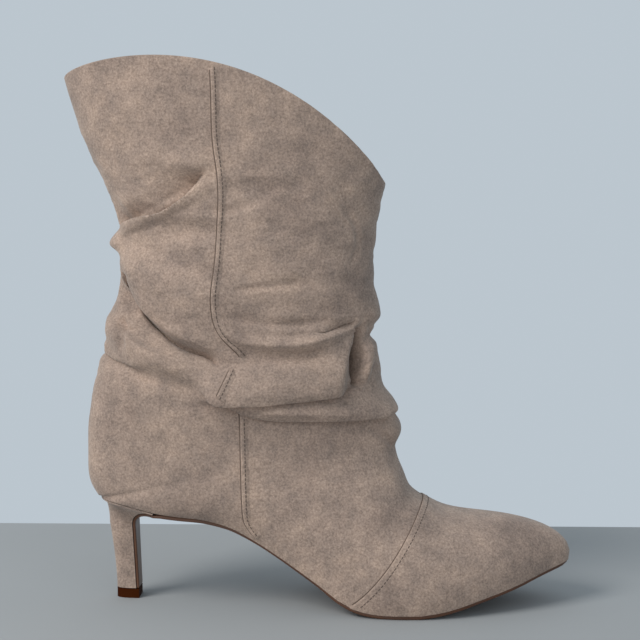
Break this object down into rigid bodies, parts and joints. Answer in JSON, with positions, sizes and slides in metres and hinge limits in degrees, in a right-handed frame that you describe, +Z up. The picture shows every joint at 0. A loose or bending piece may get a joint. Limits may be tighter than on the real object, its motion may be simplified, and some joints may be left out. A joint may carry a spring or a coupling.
{
  "type": "slouch boot",
  "caption": "Pointed ankle boot with a slouched wide shaft, sloping top edge, slim covered heel and thin sole; right foot, standing empty.",
  "frame": {"origin": "middle of the heel tip's bottom face, on the floor", "axes": "+Z up from the floor, +X towards the toe, +Y towards the wearer's other foot"},
  "size_m": [0.2667, 0.0853, 0.2844],
  "materials": {
    "suede": "brushed beige nap, matt",
    "insole_leather": "smooth tan, matt",
    "sole": "smooth dark brown, half gloss",
    "lift": "dark brown, half gloss"
  },
  "bodies": {
    "root": {"upper": "suede", "insole": "insole_leather", "outsole": "sole", "heel": "suede", "top_lift": "lift"}
  },
  "joints": []
}
